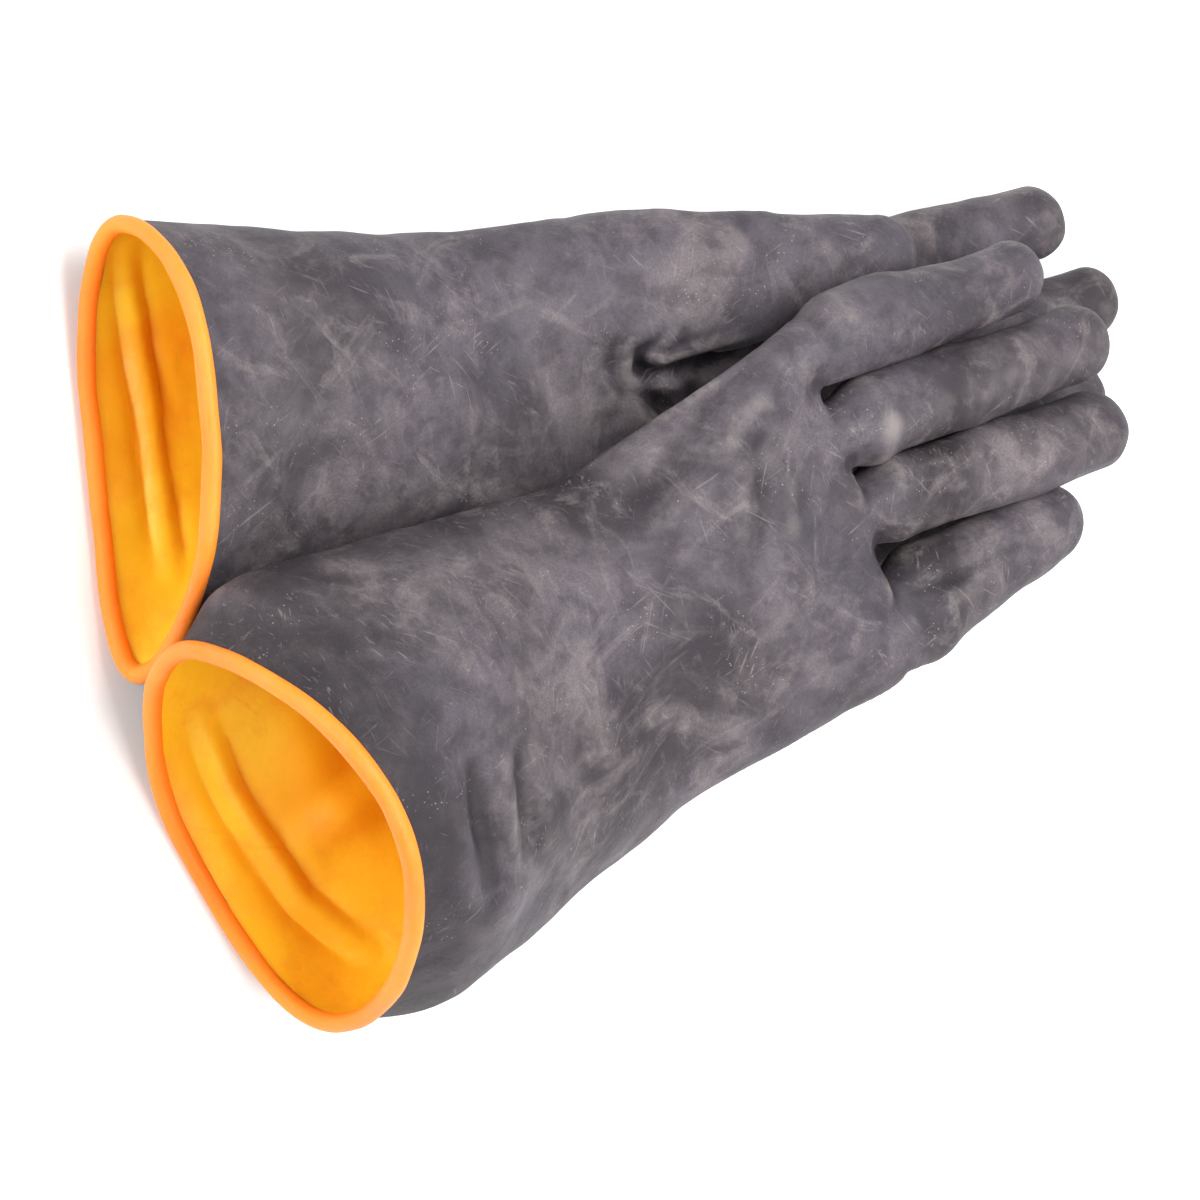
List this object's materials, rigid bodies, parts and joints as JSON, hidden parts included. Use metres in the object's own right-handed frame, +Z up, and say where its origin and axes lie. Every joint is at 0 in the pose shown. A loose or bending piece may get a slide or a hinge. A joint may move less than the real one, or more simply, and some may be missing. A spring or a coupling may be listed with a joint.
{
  "type": "pair of electrical insulating gloves",
  "caption": "Pair of long gauntlet rubber insulating gloves, black outside and orange inside, rolled cuff beads, right glove lying palm down on the left.",
  "frame": {"origin": "middle of the footprint, on the surface that the gloves rest on", "axes": "+X from the cuffs to the fingertips, +Y towards the thumb side of both gloves, +Z up"},
  "size_m": [0.3796, 0.2744, 0.1119],
  "materials": {
    "black_outer_rubber": "matt dusty black natural rubber, mottled and lightly scuffed",
    "orange_lining_rubber": "satin orange natural rubber",
    "orange_bead_rubber": "satin orange natural rubber, worn paler on top"
  },
  "bodies": {
    "left_glove": {"left_cuff_bead": "orange_bead_rubber", "left_gauntlet_outer": "black_outer_rubber", "left_gauntlet_lining": "orange_lining_rubber", "left_hand_outer": "black_outer_rubber", "left_hand_lining": "orange_lining_rubber", "left_index_outer": "black_outer_rubber", "left_index_lining": "orange_lining_rubber", "left_middle_outer": "black_outer_rubber", "left_middle_lining": "orange_lining_rubber", "left_ring_outer": "black_outer_rubber", "left_ring_lining": "orange_lining_rubber", "left_little_outer": "black_outer_rubber", "left_little_lining": "orange_lining_rubber"},
    "left_thumb": {"left_thumb_outer": "black_outer_rubber", "left_thumb_lining": "orange_lining_rubber"},
    "right_gauntlet": {"right_cuff_bead": "orange_bead_rubber", "right_gauntlet_outer": "black_outer_rubber", "right_gauntlet_lining": "orange_lining_rubber"},
    "right_hand": {"right_hand_outer": "black_outer_rubber", "right_hand_lining": "orange_lining_rubber", "right_thumb_outer": "black_outer_rubber", "right_thumb_lining": "orange_lining_rubber"},
    "right_index": {"right_index_outer": "black_outer_rubber", "right_index_lining": "orange_lining_rubber"},
    "right_middle": {"right_middle_outer": "black_outer_rubber", "right_middle_lining": "orange_lining_rubber"},
    "right_ring": {"right_ring_outer": "black_outer_rubber", "right_ring_lining": "orange_lining_rubber"},
    "right_little": {"right_little_outer": "black_outer_rubber", "right_little_lining": "orange_lining_rubber"}
  },
  "joints": [
    {"name": "right_glove_lift", "type": "slide", "parent": "left_glove", "child": "right_gauntlet", "axis": [0, 0, 1], "range_m": [0, 0.25]},
    {"name": "right_wrist_bend", "type": "hinge", "parent": "right_gauntlet", "child": "right_hand", "pos_m": [-0.02761, -0.01791, 0.043], "axis": [0.4872, -0.8438, -0.2249], "range_deg": [0, 20], "stiffness_Nm_per_rad": 0.6},
    {"name": "right_index_bend", "type": "hinge", "parent": "right_hand", "child": "right_index", "pos_m": [0.04639, 0.07809, 0.07], "axis": [0.3054, -0.9498, -0.0675], "range_deg": [0, 35], "stiffness_Nm_per_rad": 0.12},
    {"name": "right_middle_bend", "type": "hinge", "parent": "right_hand", "child": "right_middle", "pos_m": [0.06439, 0.05309, 0.068], "axis": [0.307, -0.9496, -0.0626], "range_deg": [0, 35], "stiffness_Nm_per_rad": 0.12},
    {"name": "right_ring_bend", "type": "hinge", "parent": "right_hand", "child": "right_ring", "pos_m": [0.07839, 0.02609, 0.063], "axis": [0.3182, -0.9462, -0.0588], "range_deg": [0, 35], "stiffness_Nm_per_rad": 0.12},
    {"name": "right_little_bend", "type": "hinge", "parent": "right_hand", "child": "right_little", "pos_m": [0.08339, -0.00291, 0.057], "axis": [0.3835, -0.9212, -0.0657], "range_deg": [0, 35], "stiffness_Nm_per_rad": 0.12},
    {"name": "left_thumb_swing", "type": "hinge", "parent": "left_glove", "child": "left_thumb", "pos_m": [0.01439, 0.10109, 0.04], "axis": [-0.0462, -0.0069, 0.9989], "range_deg": [0, 30], "stiffness_Nm_per_rad": 0.12}
  ]
}
